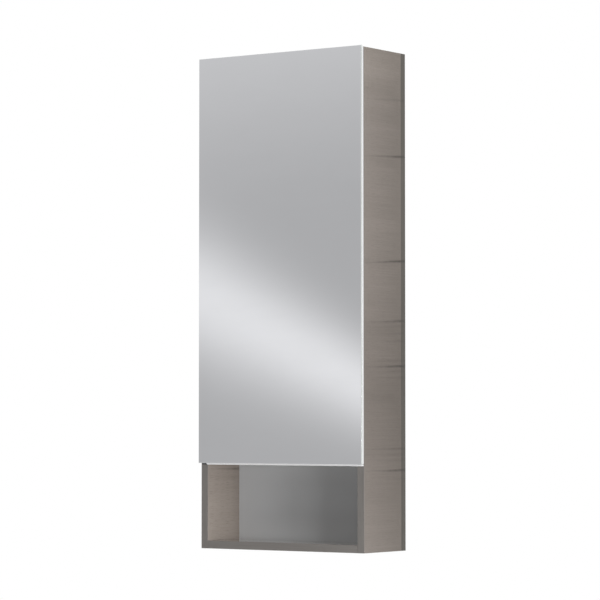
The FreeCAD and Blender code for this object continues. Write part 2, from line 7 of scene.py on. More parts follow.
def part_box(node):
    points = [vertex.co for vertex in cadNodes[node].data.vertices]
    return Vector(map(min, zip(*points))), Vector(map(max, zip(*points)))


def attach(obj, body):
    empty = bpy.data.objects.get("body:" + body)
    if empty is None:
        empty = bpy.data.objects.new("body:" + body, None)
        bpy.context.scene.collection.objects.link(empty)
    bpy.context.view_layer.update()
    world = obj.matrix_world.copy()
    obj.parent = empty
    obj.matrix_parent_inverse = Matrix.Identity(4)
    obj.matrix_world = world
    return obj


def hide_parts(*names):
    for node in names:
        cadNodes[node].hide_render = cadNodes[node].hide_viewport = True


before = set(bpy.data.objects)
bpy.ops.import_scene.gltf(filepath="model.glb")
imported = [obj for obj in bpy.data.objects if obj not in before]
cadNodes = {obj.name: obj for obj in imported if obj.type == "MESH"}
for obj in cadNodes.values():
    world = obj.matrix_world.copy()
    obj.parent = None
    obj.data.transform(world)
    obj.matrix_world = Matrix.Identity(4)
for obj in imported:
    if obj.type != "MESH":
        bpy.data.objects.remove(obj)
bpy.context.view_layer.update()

cadSlots = {name: piece.material_slots[0].material.name.split(".")[0] for name, piece in cadNodes.items()}
scene = bpy.context.scene
scene.view_settings.view_transform = "Standard"
print("frame loaded:", len(cadNodes), "pieces")


# small helpers for colours and node trees

def tone(red, green, blue):
    def toLinear(level):
        share = level / 255
        return share / 12.92 if share <= 0.04045 else ((share + 0.055) / 1.055) ** 2.4
    return (toLinear(red), toLinear(green), toLinear(blue), 1.0)


def addNode(tree, kind, inputs=None, **settings):
    node = tree.nodes.new("ShaderNode" + kind)
    for name, value in settings.items():
        setattr(node, name, value)
    for name, value in (inputs or {}).items():
        if isinstance(value, bpy.types.NodeSocket):
            tree.links.new(value, node.inputs[name])
        else:
            node.inputs[name].default_value = value
    return node


def calc(tree, operation, first, second=0.0, clamp=False):
    return addNode(tree, "Math", {0: first, 1: second}, operation=operation, use_clamp=clamp).outputs[0]


def rescale(tree, value, fromLow, fromHigh, toLow=0.0, toHigh=1.0, smooth=False):
    kind = "SMOOTHSTEP" if smooth else "LINEAR"
    ends = {"Value": value, "From Min": fromLow, "From Max": fromHigh, "To Min": toLow, "To Max": toHigh}
    return addNode(tree, "MapRange", ends, interpolation_type=kind).outputs["Result"]


def mixColour(tree, share, first, second, blend="MIX"):
    sides = {0: share, 6: first, 7: second}
    return addNode(tree, "Mix", sides, data_type="RGBA", blend_type=blend).outputs[2]


def mixValue(tree, share, first, second):
    return addNode(tree, "Mix", {0: share, 2: first, 3: second}, data_type="FLOAT").outputs[0]


def stretch(tree, vector, amounts):
    return addNode(tree, "VectorMath", {0: vector, 1: amounts}, operation="MULTIPLY").outputs[0]


def noise(tree, vector, scale, detail=2.0, roughness=0.5):
    settings = {"Vector": vector, "Scale": scale, "Detail": detail, "Roughness": roughness}
    return addNode(tree, "TexNoise", settings).outputs["Fac"]


def dot(tree, vector, other):
    return addNode(tree, "VectorMath", {0: vector, 1: other}, operation="DOT_PRODUCT").outputs["Value"]


def newGroup(name, inputs, outputs):
    group = bpy.data.node_groups.new(name, "ShaderNodeTree")
    for label, kind, value in inputs:
        socket = group.interface.new_socket(label, in_out="INPUT", socket_type="NodeSocket" + kind)
        if value is not None:
            socket.default_value = value
    for label, kind in outputs:
        group.interface.new_socket(label, in_out="OUTPUT", socket_type="NodeSocket" + kind)
    return group, group.nodes.new("NodeGroupInput"), group.nodes.new("NodeGroupOutput")


def useGroup(tree, group, inputs):
    return addNode(tree, "Group", inputs, node_tree=group).outputs


def newMaterial(name, **sockets):
    material = bpy.data.materials.new(name)
    material.use_nodes = True
    tree = material.node_tree
    tree.nodes.clear()
    shader = addNode(tree, "BsdfPrincipled", sockets)
    addNode(tree, "OutputMaterial", {"Surface": shader.outputs[0]})
    return material, tree, shader


def showMix(tree, share, first, second):
    both = addNode(tree, "MixShader", {0: share, 1: first.outputs[0], 2: second.outputs[0]})
    tree.links.new(both.outputs[0], tree.get_output_node("ALL").inputs["Surface"])


def objectPlace(tree):
    return addNode(tree, "TexCoord").outputs["Object"]


def faceShare(tree, axis, low=0.5, high=0.8):
    # 1 on the faces that look along an axis, 0 on the others
    normal = addNode(tree, "TexCoord").outputs["Normal"]
    part = addNode(tree, "SeparateXYZ", {0: normal}).outputs[axis]
    return rescale(tree, calc(tree, "ABSOLUTE", part), low, high)


def bumped(tree, shader, height, strength, distance):
    bump = addNode(tree, "Bump", {"Height": height, "Strength": strength, "Distance": distance})
    tree.links.new(bump.outputs["Normal"], shader.inputs["Normal"])


# camera

cameraLook = {
    "place": (3.311, -4.804, -0.674),
    "turn": 35.05,       # degrees to the left of straight at the wall
    "tilt": 2.394,       # degrees up
    "lens": 170.6,
    "sensor": 36.0,
    "farClip": 200.0,
}


def makeCamera(look):
    data = bpy.data.cameras.new("pictureCamera")
    data.sensor_fit = "HORIZONTAL"
    data.sensor_width = look["sensor"]
    data.lens = look["lens"]
    data.clip_end = look["farClip"]
    camera = bpy.data.objects.new("pictureCamera", data)
    camera.location = look["place"]
    camera.rotation_euler = (math.radians(90 + look["tilt"]), 0.0, math.radians(look["turn"]))
    scene.collection.objects.link(camera)
    scene.camera = camera


makeCamera(cameraLook)
print("camera in place")


# studio: world, floor and lamps

studioLook = {
    "ambient": 0.28,               # soft light from all round
    "sheet": 0.426,                # tone of the dim side of the studio, which the mirror shows
    "upperSheet": 0.643,           # tone further up
    "upperSlant": (-0.1421, 0.0984, 1.0),
    "ceiling": 0.80,
    "band": 0.36,                  # extra tone along the slanting light band
    "bandHeight": 0.0206,
    "bandWidths": (0.0219, 0.0150),  # the band narrows to the right
    "bandEnds": (-0.035, 0.022),     # where along it these widths are
    "bandAlong": (0.822, -0.569, 0.0),
    "bandSlant": (0.4445, -0.3077, 1.0),
    "upperRise": (0.0657, 0.175),    # where the dim tone passes into the upper one
    "ceilingRise": (0.12, 0.9),
    "whiteTurn": (-0.3, 0.15),       # towards the wall the mirrored studio is white
    "floorPlace": (0.0, -0.3, -1.45),
    "floorRadius": 3.2,
    "floorSides": 96,
    "floorTones": (0.86, 0.9),
    "floorMottle": 3.0,
    "floorRoughness": 0.9,
    "floorGlow": (0.2, 1.0),         # whiter to the camera: near the middle and at the rim
    "floorMirrored": 0.9,
    "fadeStart": 0.7,
    "rimTurn": (-0.7, 0.7),          # the rim goes from the dim tone in front to white behind
}


def makeWorld(look):
    world = bpy.data.worlds.new("studioWorld")
    scene.world = world
    world.use_nodes = True
    tree = world.node_tree
    tree.nodes.clear()
    toward = addNode(tree, "TexCoord").outputs["Generated"]
    lift = dot(tree, toward, look["bandSlant"])
    along = dot(tree, toward, look["bandAlong"])
    width = rescale(tree, along, *look["bandEnds"], *look["bandWidths"])
    offBand = calc(tree, "DIVIDE", calc(tree, "SUBTRACT", lift, look["bandHeight"]), width)
    falling = calc(tree, "MULTIPLY", calc(tree, "MULTIPLY", offBand, offBand), -1.0)
    band = calc(tree, "MULTIPLY", calc(tree, "EXPONENT", falling), look["band"])
    rise = dot(tree, toward, look["upperSlant"])
    upper = rescale(tree, rise, *look["upperRise"], look["sheet"], look["upperSheet"], smooth=True)
    ceiling = rescale(tree, lift, *look["ceilingRise"], 0.0, look["ceiling"] - look["upperSheet"])
    dim = calc(tree, "ADD", calc(tree, "ADD", upper, ceiling), band)
    backward = addNode(tree, "SeparateXYZ", {0: toward}).outputs["Y"]
    glossy = mixValue(tree, rescale(tree, backward, *look["whiteTurn"], smooth=True), dim, 1.0)
    path = addNode(tree, "LightPath")
    seen = mixValue(tree, path.outputs["Is Glossy Ray"], look["ambient"], glossy)
    white = calc(tree, "MAXIMUM", path.outputs["Is Camera Ray"], path.outputs["Is Transmission Ray"])
    level = mixValue(tree, white, seen, 1.0)
    background = addNode(tree, "Background", {"Color": (1.0, 1.0, 1.0, 1.0), "Strength": level})
    addNode(tree, "OutputWorld", {"Surface": background.outputs[0]})


def makeFloor(look):
    mesh = bpy.data.meshes.new("studioFloor")
    build = bmesh.new()
    bmesh.ops.create_circle(build, cap_ends=True, radius=look["floorRadius"], segments=look["floorSides"])
    build.to_mesh(mesh)
    build.free()
    floor = bpy.data.objects.new("studioFloor", mesh)
    floor.location = look["floorPlace"]
    scene.collection.objects.link(floor)
    dull = {"Roughness": look["floorRoughness"], "Specular IOR Level": 0.0}
    material, tree, shader = newMaterial("paleFloor", **dull)
    mottle = noise(tree, objectPlace(tree), look["floorMottle"])
    base = mixColour(tree, mottle, *[(level, level, level, 1.0) for level in look["floorTones"]])
    path = addNode(tree, "LightPath")
    reach = addNode(tree, "VectorMath", {0: objectPlace(tree)}, operation="LENGTH").outputs["Value"]
    # mirrored, the floor is a plain tone that passes into the studio's tone at the rim
    glossy = path.outputs["Is Glossy Ray"]
    backward = addNode(tree, "SeparateXYZ", {0: objectPlace(tree)}).outputs["Y"]
    rim = rescale(tree, backward, *look["rimTurn"], look["sheet"], 1.0, smooth=True)
    toRim = rescale(tree, reach, look["fadeStart"], look["floorRadius"], smooth=True)
    mirrored = mixValue(tree, toRim, look["floorMirrored"], rim)
    # to the camera it is lit in the middle and plain white at the rim
    seen = calc(tree, "MAXIMUM", path.outputs["Is Camera Ray"], path.outputs["Is Transmission Ray"])
    unlit = calc(tree, "MAXIMUM", glossy, calc(tree, "MULTIPLY", seen, toRim))
    tree.links.new(mixColour(tree, unlit, base, (0.0, 0.0, 0.0, 1.0)), shader.inputs["Base Color"])
    whiter = calc(tree, "MULTIPLY", seen, mixValue(tree, toRim, *look["floorGlow"]))
    level = mixValue(tree, glossy, whiter, mirrored)
    glow = addNode(tree, "CombineColor", {0: level, 1: level, 2: level}).outputs[0]
    tree.links.new(glow, shader.inputs["Emission Color"])
    shader.inputs["Emission Strength"].default_value = 1.0
    # open to a look from below
    through = addNode(tree, "BsdfTransparent")
    under = addNode(tree, "NewGeometry").outputs["Backfacing"]
    showMix(tree, under, shader, through)
    mesh.materials.append(material)


# size is width and height in metres, power is in watts
lampLooks = {
    "keyLamp": {"place": (4.02, -1.85, -0.84), "aim": (0.0, -0.1, -0.55), "size": (1.8, 0.5), "power": 101.0},
    "lowLamp": {"place": (2.0, -0.95, -0.80), "aim": (0.0, -0.1, -0.85), "size": (0.9, 0.3), "power": 5.7},
    "frontLamp": {"place": (0.9, -1.9, -0.80), "aim": (0.0, -0.1, -0.85), "size": (0.9, 0.3), "power": 1.7},
    "topLamp": {"place": (0.4, -0.8, 2.6), "aim": (0.0, -0.1, -0.4), "size": (1.4, 1.4), "power": 10.0},
    "leftLamp": {"place": (-3.4, 1.3, 0.1), "aim": (-0.1, 0.0, -0.4), "size": (1.8, 1.8), "power": 74.0},
    "backLamp": {"place": (-0.9, 4.0, 0.4), "aim": (0.0, 0.0, -0.4), "size": (2.0, 2.0), "power": 78.0},
    "fillLamp": {"place": (-1.4, -4.0, -0.3), "aim": (0.0, -0.1, -0.45), "size": (2.0, 2.0), "power": 2.5},
}


def makeLamps(looks):
    for name, look in looks.items():
        data = bpy.data.lights.new(name, "AREA")
        data.shape = "RECTANGLE"
        data.size, data.size_y = look["size"]
        data.energy = look["power"]
        lamp = bpy.data.objects.new(name, data)
        lamp.location = look["place"]
        away = Vector(look["place"]) - Vector(look["aim"])
        lamp.rotation_euler = away.to_track_quat("Z", "Y").to_euler()
        lamp.visible_glossy = False
        scene.collection.objects.link(lamp)


makeWorld(studioLook)
makeFloor(studioLook)
makeLamps(lampLooks)
print("studio built")


# shared effects as node groups

# each row is one mask: stretch of the place, detail and roughness of its noise, levels that become 0 and 1
figureLook = {
    "Streaks": {"stretch": (7.0, 620.0, 620.0), "detail": 3.0, "roughness": 0.6, "levels": (0.3, 0.7)},
    "Bands": {"stretch": (1.6, 26.0, 26.0), "detail": 4.0, "roughness": 0.55, "levels": (0.3, 0.7)},
    "Pores": {"stretch": (55.0, 1500.0, 1500.0), "detail": 1.0, "roughness": 0.5, "levels": (0.56, 0.68)},
}
# faint smears and dust that break up a clean finish
handlingLook = {
    "Smear": {"stretch": (9.0, 9.0, 22.0), "detail": 5.0, "roughness": 0.6, "levels": (0.35, 0.7)},
    "Dust": {"scale": 700.0, "detail": 2.0, "roughness": 0.5, "levels": (0.62, 0.75)},
    "Cloud": {"stretch": (4.5, 4.5, 4.5), "detail": 3.0, "roughness": 0.5, "levels": (0.3, 0.7)},
}
# fine drawn lines
brushingLook = {
    "Lines": {"stretch": (10.0, 3800.0, 3800.0), "detail": 2.0, "roughness": 0.6, "levels": (0.3, 0.7)},
    "Soft": {"stretch": (3.0, 160.0, 160.0), "detail": 2.0, "roughness": 0.5, "levels": (0.3, 0.7)},
}


def makeMasks(name, looks):
    # grain and drawn lines run along X of the place; a row with a scale gets a group input for it
    scales = [(mask + " scale", "Float", look["scale"]) for mask, look in looks.items() if "scale" in look]
    group, start, end = newGroup(name, [("Place", "Vector", None)] + scales,
                                 [(mask, "Float") for mask in looks])
    for mask, look in looks.items():
        place, scale = start.outputs["Place"], 1.0
        if "scale" in look:
            scale = start.outputs[mask + " scale"]
        else:
            place = stretch(group, place, look["stretch"])
        cells = noise(group, place, scale, look["detail"], look["roughness"])
        group.links.new(rescale(group, cells, *look["levels"]), end.inputs[mask])
    return group


woodFigure = makeMasks("woodFigure", figureLook)
handling = makeMasks("handling", handlingLook)
brushing = makeMasks("brushing", brushingLook)
print("shared effects built")


def turned(tree, order):
    # the place with its axes in another order, so that grain or brushing runs along the first one
    split = addNode(tree, "SeparateXYZ", {0: objectPlace(tree)})
    axes = {i: split.outputs[axis] for i, axis in enumerate(order)}
    return addNode(tree, "CombineXYZ", axes).outputs[0], split


# laminate boards

laminateLook = {
    "light": tone(160, 151, 144),
    "dark": tone(134, 126, 119),
    "pore": tone(98, 91, 85),
    "streakShare": 0.28,       # fine streaks against broad bands
    "poreShare": 0.35,
    "line": tone(50, 46, 43),
    # height and strength of each single line: first the clear ones, then the faint ones beside them
    "lines": ((-0.033, 0.3), (-0.147, 0.78), (-0.358, 0.95), (-0.478, 0.65), (-0.5685, 0.95), (-0.734, 0.45),
              (-0.777, 0.85),
              (-0.488, 0.22), (-0.503, 0.2), (-0.518, 0.18), (-0.557, 0.2), (-0.579, 0.2), (-0.591, 0.22),
              (-0.745, 0.2), (-0.757, 0.16), (-0.794, 0.14)),
    "lineHalf": (0.0022, 0.0044),  # at the front and at the back
    "lineFront": 0.32,         # root of a line's share at the front of a side
    "lineSlope": 0.062,
    "slopeHeights": (-0.75, -0.35),
    "lineWander": 0.0015,
    "wanderStretch": (0.0, 14.0, 3.0),
    "unevenStretch": (0.0, 60.0, 9.0),
    "unevenLevels": (0.3, 0.7),
    "uneven": (0.6, 1.0),
    "figureShare": 0.55,       # on a side, what is left of the figure beside the painted shade towards the back
    "paintedBackShade": 0.85,
    "dim": (0.735, 0.725, 0.715, 1.0),
    "dimHeight": -0.65,        # a darker stretch across the lower part of a side
    "dimHalf": 0.40,
    "pale": (1.2, 1.2, 1.19, 1.0),
    "paleReach": 0.14,         # a paler stretch at the top of a side
    "specular": 0.35,
    "coat": 0.0,
    "coatRoughness": 0.03,
    "roughness": (0.46, 0.62),
    "bump": 0.35,
    "relief": 0.00025,
}


def addGrainLines(tree, split, colour, look):
    # single dark growth lines, strongest towards the back of a side board
    low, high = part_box("right_side_board")
    wander = noise(tree, stretch(tree, objectPlace(tree), look["wanderStretch"]), 1.0, 2.0)
    shift = rescale(tree, wander, 0.0, 1.0, -look["lineWander"], look["lineWander"])
    height = calc(tree, "ADD", split.outputs["Z"], shift)
    # the lines rise towards the back, more so higher up
    slope = rescale(tree, split.outputs["Z"], *look["slopeHeights"], 0.0, look["lineSlope"])
    fromBack = calc(tree, "SUBTRACT", high.y, split.outputs["Y"])
    height = calc(tree, "ADD", height, calc(tree, "MULTIPLY", slope, fromBack))
    half = rescale(tree, split.outputs["Y"], low.y, high.y, *look["lineHalf"])
    lines = 0.0
    for lineHeight, strength in look["lines"]:
        apart = calc(tree, "ABSOLUTE", calc(tree, "SUBTRACT", height, lineHeight))
        line = rescale(tree, apart, 0.0, half, strength, 0.0, smooth=True)
        lines = calc(tree, "ADD", line, lines)
    patches = noise(tree, stretch(tree, objectPlace(tree), look["unevenStretch"]), 1.0, 2.0)
    uneven = rescale(tree, patches, *look["unevenLevels"], *look["uneven"])
    toBack = rescale(tree, split.outputs["Y"], low.y, high.y, look["lineFront"], 1.0)
    toBack = calc(tree, "MULTIPLY", toBack, toBack)
    share = calc(tree, "MULTIPLY", calc(tree, "MULTIPLY", lines, toBack), uneven, clamp=True)
    return mixColour(tree, share, colour, look["line"])


# a lighter or darker copy of a colour: painted light or painted shade
def paintedLightCopy(colour, lift):
    red, green, blue, alpha = colour
    return (min(1.0, red * lift), min(1.0, green * lift), min(1.0, blue * lift), alpha)


def makeLaminate(name, order, look, lined=False, lift=1.0):
    material, tree, shader = newMaterial(name, **{
        "Specular IOR Level": look["specular"], "Coat Weight": look["coat"],
        "Coat Roughness": look["coatRoughness"]})
    place, split = turned(tree, order)
    figure = useGroup(tree, woodFigure, {"Place": place})
    shade = mixValue(tree, look["streakShare"], figure["Bands"], figure["Streaks"])
    if lined:
        low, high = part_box("right_side_board")
        # painted shade: a side is darker towards its back
        toBack = rescale(tree, split.outputs["Y"], low.y, high.y, 0.0, look["paintedBackShade"])
        shade = calc(tree, "ADD", calc(tree, "MULTIPLY", shade, look["figureShare"]), toBack, clamp=True)
    colour = mixColour(tree, shade, paintedLightCopy(look["light"], lift), paintedLightCopy(look["dark"], lift))
    colour = mixColour(tree, calc(tree, "MULTIPLY", figure["Pores"], look["poreShare"]), colour, look["pore"])
    if lined:
        apart = calc(tree, "ABSOLUTE", calc(tree, "SUBTRACT", split.outputs["Z"], look["dimHeight"]))
        dim = rescale(tree, apart, 0.0, look["dimHalf"], 1.0, 0.0, smooth=True)
        colour = mixColour(tree, dim, colour, look["dim"], "MULTIPLY")
        pale = rescale(tree, split.outputs["Z"], high.z - look["paleReach"], high.z, smooth=True)
        colour = mixColour(tree, pale, colour, look["pale"], "MULTIPLY")
        colour = addGrainLines(tree, split, colour, look)
    tree.links.new(colour, shader.inputs["Base Color"])
    tree.links.new(mixValue(tree, figure["Streaks"], *look["roughness"]), shader.inputs["Roughness"])
    grooves = calc(tree, "SUBTRACT", figure["Streaks"], figure["Pores"])
    bumped(tree, shader, grooves, look["bump"], look["relief"])
    return material


# one laminate in lit and shaded copies, as painted light and shade: lighter on the left board and the bottom
# board, darker on the right board
rightLaminate = makeLaminate("rightLaminate", "YZX", laminateLook, lined=True, lift=0.79)
leftLaminate = makeLaminate("leftLaminate", "YZX", laminateLook, lined=True, lift=1.28)
levelLaminate = makeLaminate("levelLaminate", "XYZ", laminateLook)
# the bottom board is wiped smooth, so seen flat it shows the panel behind it. Its copy is painted lighter
# still, as painted light.
baseLook = dict(laminateLook, coat=1.0, roughness=(0.10, 0.18), relief=0.00002)
baseLaminate = makeLaminate("baseLaminate", "XYZ", baseLook, lift=1.7)


# edging strips

edgingLook = {
    "light": tone(139, 135, 131),
    "dark": tone(116, 112, 109),
    "backLight": tone(92, 88, 82),
    "backDark": tone(70, 67, 61),
    "streakShare": 0.35,
    "specular": 0.4,
    "roughness": (0.4, 0.55),
    "bump": 0.3,
    "relief": 0.0001,
}


def makeEdging(name, order, light, dark, look, lined=False):
    material, tree, shader = newMaterial(name, **{"Specular IOR Level": look["specular"]})
    place, split = turned(tree, order)
    figure = useGroup(tree, woodFigure, {"Place": place})
    shade = mixValue(tree, look["streakShare"], figure["Bands"], figure["Streaks"])
    colour = mixColour(tree, shade, look[light], look[dark])
    if lined:
        colour = addGrainLines(tree, split, colour, laminateLook)
    tree.links.new(colour, shader.inputs["Base Color"])
    tree.links.new(mixValue(tree, figure["Streaks"], *look["roughness"]), shader.inputs["Roughness"])
    bumped(tree, shader, figure["Streaks"], look["bump"], look["relief"])
    return material


uprightEdging = makeEdging("uprightEdging", "ZXY", "light", "dark", edgingLook)
levelEdging = makeEdging("levelEdging", "XYZ", "light", "dark", edgingLook)
backEdging = makeEdging("backEdging", "ZXY", "backLight", "backDark", edgingLook, lined=True)


# grey niche panel

panelLook = {
    # painted shade: the panel goes from a light tone on the left to a darker one on the right, where the
    # right board shades it
    "light": tone(201, 203, 205),
    "dark": tone(172, 173, 174),
    "paintedShadeFrom": 0.37,             # share of the width, from the left, where the painted shade is darkest
    "cloudShare": 0.2,
    "ends": tone(214, 216, 217),  # painted light: paler again towards the foot and the top, against the shade in the niche's corners
    "paintedFootLight": 0.52,
    "footReach": 0.06,
    "paintedTopLight": 0.4,
    "topReach": 0.05,
    "specular": 0.45,
    "roughness": (0.32, 0.42),
    "grain": 900.0,
    "bump": 0.2,
    "relief": 0.00005,
}


def makePanel(look):
    material, tree, shader = newMaterial("greyLacquer", **{"Specular IOR Level": look["specular"]})
    place = objectPlace(tree)
    marks = useGroup(tree, handling, {"Place": place})
    low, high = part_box("niche_back_panel")
    split = addNode(tree, "SeparateXYZ", {0: place})
    # painted shade across the panel, darker from the left towards the right
    across = rescale(tree, split.outputs["X"], low.x, low.x + (high.x - low.x) * look["paintedShadeFrom"])
    up = split.outputs["Z"]
    # painted light towards the foot and the top
    foot = rescale(tree, up, low.z, low.z + look["footReach"], look["paintedFootLight"], 0.0, smooth=True)
    top = rescale(tree, up, high.z - look["topReach"], high.z, 0.0, look["paintedTopLight"], smooth=True)
    shade = mixValue(tree, look["cloudShare"], across, marks["Cloud"])
    colour = mixColour(tree, shade, look["light"], look["dark"])
    colour = mixColour(tree, calc(tree, "ADD", foot, top), colour, look["ends"])
    tree.links.new(colour, shader.inputs["Base Color"])
    tree.links.new(mixValue(tree, marks["Smear"], *look["roughness"]), shader.inputs["Roughness"])
    bumped(tree, shader, noise(tree, place, look["grain"], 1.0), look["bump"], look["relief"])
    return material


greyLacquer = makePanel(panelLook)


# mirrors and glass

mirrorLook = {
    "silver": (0.947, 0.953, 0.98, 1.0),
    "dusty": (0.922, 0.928, 0.954, 1.0),
    "edge": tone(214, 217, 215),
    "edgeDeep": tone(200, 206, 203),
    "smearShare": 0.5,
    "index": 1.52,
    "roughness": (0.012, 0.03),
    "edgeRoughness": 0.25,
}


def makeMirror(look):
    material, tree, shader = newMaterial("silveredGlass", **{"IOR": look["index"]})
    place = objectPlace(tree)
    marks = useGroup(tree, handling, {"Place": place})
    faces = faceShare(tree, "Y")
    smear = calc(tree, "MULTIPLY", marks["Smear"], look["smearShare"])
    silver = mixColour(tree, smear, look["silver"], look["dusty"])
    edge = mixColour(tree, marks["Cloud"], look["edge"], look["edgeDeep"])
    tree.links.new(mixColour(tree, faces, edge, silver), shader.inputs["Base Color"])
    tree.links.new(faces, shader.inputs["Metallic"])
    worn = mixValue(tree, marks["Smear"], *look["roughness"])
    tree.links.new(mixValue(tree, faces, look["edgeRoughness"], worn), shader.inputs["Roughness"])
    return material


glassLook = {
    "clear": (0.965, 0.985, 0.978, 1.0),
    "edge": (0.55, 0.80, 0.72, 1.0),
    "rimShare": 0.3,
    "shade": (0.90, 0.955, 0.935, 1.0),
    "index": 1.52,
    "roughness": (0.0, 0.03),
}


def makeGlass(look):
    clear = {"IOR": look["index"], "Transmission Weight": 1.0}
    material, tree, shader = newMaterial("clearGlass", **clear)
    place = objectPlace(tree)
    marks = useGroup(tree, handling, {"Place": place})
    faces = faceShare(tree, "Z")
    rim = mixColour(tree, marks["Cloud"], look["edge"], look["clear"])
    rim = mixColour(tree, look["rimShare"], look["edge"], rim)
    tree.links.new(mixColour(tree, faces, rim, look["clear"]), shader.inputs["Base Color"])
    tree.links.new(mixValue(tree, marks["Smear"], *look["roughness"]), shader.inputs["Roughness"])
    # light passes through the pane instead of leaving a black shadow
    through = addNode(tree, "BsdfTransparent", {"Color": look["shade"]})
    path = addNode(tree, "LightPath")
    showMix(tree, path.outputs["Is Shadow Ray"], shader, through)
    return material


silveredGlass = makeMirror(mirrorLook)
clearGlass = makeGlass(glassLook)


# metals

metalLooks = {
    "satinAluminium": {"metallic": 1.0, "light": (0.93, 0.93, 0.935, 1.0), "dark": (0.84, 0.84, 0.85, 1.0),
                       "roughness": (0.22, 0.36), "relief": 0.00002},
    "frostedAluminium": {"metallic": 0.35, "light": (0.95, 0.95, 0.95, 1.0),
                         "dark": (0.88, 0.88, 0.885, 1.0), "roughness": (0.4, 0.55), "relief": 0.00002},
    "nickelPlate": {"metallic": 0.86, "light": (0.80, 0.785, 0.75, 1.0), "dark": (0.66, 0.645, 0.615, 1.0),
                    "roughness": (0.26, 0.42), "relief": 0.00001},
    "brightZinc": {"metallic": 0.8, "light": (0.74, 0.76, 0.79, 1.0), "dark": (0.58, 0.60, 0.62, 1.0),
                   "roughness": (0.24, 0.42), "relief": 0.00002},
    "zincSheet": {"metallic": 0.75, "light": (0.68, 0.70, 0.72, 1.0), "dark": (0.52, 0.535, 0.55, 1.0),
                  "roughness": (0.3, 0.48), "relief": 0.00003},
}
brushLook = {"cloudShare": 0.5, "smearShare": 0.5, "bump": 0.3}


def makeMetal(name, order, suffix=""):
    look = metalLooks[name]
    material, tree, shader = newMaterial(name + suffix, **{"Metallic": look["metallic"]})
    drawn = useGroup(tree, brushing, {"Place": turned(tree, order)[0]})
    marks = useGroup(tree, handling, {"Place": objectPlace(tree)})
    shade = mixValue(tree, brushLook["cloudShare"], drawn["Soft"], marks["Cloud"])
    tree.links.new(mixColour(tree, shade, look["light"], look["dark"]), shader.inputs["Base Color"])
    worn = mixValue(tree, brushLook["smearShare"], drawn["Lines"], marks["Smear"])
    tree.links.new(mixValue(tree, worn, *look["roughness"]), shader.inputs["Roughness"])
    bumped(tree, shader, drawn["Lines"], brushLook["bump"], look["relief"])
    return material


uprightAluminium = makeMetal("satinAluminium", "ZXY", "Upright")
levelAluminium = makeMetal("satinAluminium", "XYZ", "Level")
frostedAluminium = makeMetal("frostedAluminium", "XYZ")
nickelPlate = makeMetal("nickelPlate", "ZXY")
brightZinc = makeMetal("brightZinc", "YXZ")
zincSheet = makeMetal("zincSheet", "ZXY")


# plastics, ferrite and beech

plasticLooks = {
    "whitePlastic": {"light": tone(232, 232, 229), "dark": tone(220, 220, 216), "roughness": (0.32, 0.5),
                     "grain": 1400.0, "relief": 0.00006, "dust": tone(196, 194, 188)},
    "groundFerrite": {"light": tone(58, 58, 61), "dark": tone(38, 38, 41), "roughness": (0.45, 0.7),
                      "grain": 2600.0, "relief": 0.00008, "dust": tone(92, 92, 94)},
    "blackPlastic": {"light": tone(34, 34, 35), "dark": tone(26, 26, 27), "roughness": (0.4, 0.55),
                     "grain": 1600.0, "relief": 0.00005, "dust": tone(70, 70, 70)},
    "clearSilicone": {"light": tone(214, 219, 221), "dark": tone(198, 204, 207), "roughness": (0.28, 0.42),
                      "grain": 2000.0, "relief": 0.00002, "dust": tone(176, 178, 178)},
}
mouldingLook = {"dustScale": 1200.0, "dustShare": 0.4, "bump": 0.3}


def makePlastic(name, **sockets):
    look = plasticLooks[name]
    material, tree, shader = newMaterial(name, **sockets)
    place = objectPlace(tree)
    marks = useGroup(tree, handling, {"Place": place, "Dust scale": mouldingLook["dustScale"]})
    colour = mixColour(tree, marks["Cloud"], look["light"], look["dark"])
    dust = calc(tree, "MULTIPLY", marks["Dust"], mouldingLook["dustShare"])
    tree.links.new(mixColour(tree, dust, colour, look["dust"]), shader.inputs["Base Color"])
    tree.links.new(mixValue(tree, marks["Smear"], *look["roughness"]), shader.inputs["Roughness"])
    bumped(tree, shader, noise(tree, place, look["grain"], 2.0), mouldingLook["bump"], look["relief"])
    return material


whitePlastic = makePlastic("whitePlastic")
blackPlastic = makePlastic("blackPlastic")
groundFerrite = makePlastic("groundFerrite", **{"Specular IOR Level": 0.4})
clearSilicone = makePlastic("clearSilicone", **{"Subsurface Weight": 0.3, "Subsurface Scale": 0.002})

beechLook = {
    "light": tone(214, 178, 136),
    "dark": tone(184, 143, 101),
    "fleck": tone(150, 108, 72),
    "fleckShare": 0.6,
    "roughness": 0.6,
    "bump": 0.3,
    "relief": 0.0001,
}


def makeBeech(look):
    material, tree, shader = newMaterial("beech", **{"Roughness": look["roughness"]})
    figure = useGroup(tree, woodFigure, {"Place": turned(tree, "XYZ")[0]})
    colour = mixColour(tree, figure["Streaks"], look["light"], look["dark"])
    flecks = calc(tree, "MULTIPLY", figure["Pores"], look["fleckShare"])
    tree.links.new(mixColour(tree, flecks, colour, look["fleck"]), shader.inputs["Base Color"])
    bumped(tree, shader, figure["Streaks"], look["bump"], look["relief"])
    return material


beech = makeBeech(beechLook)
print("finishes built")


# finishes on the pieces

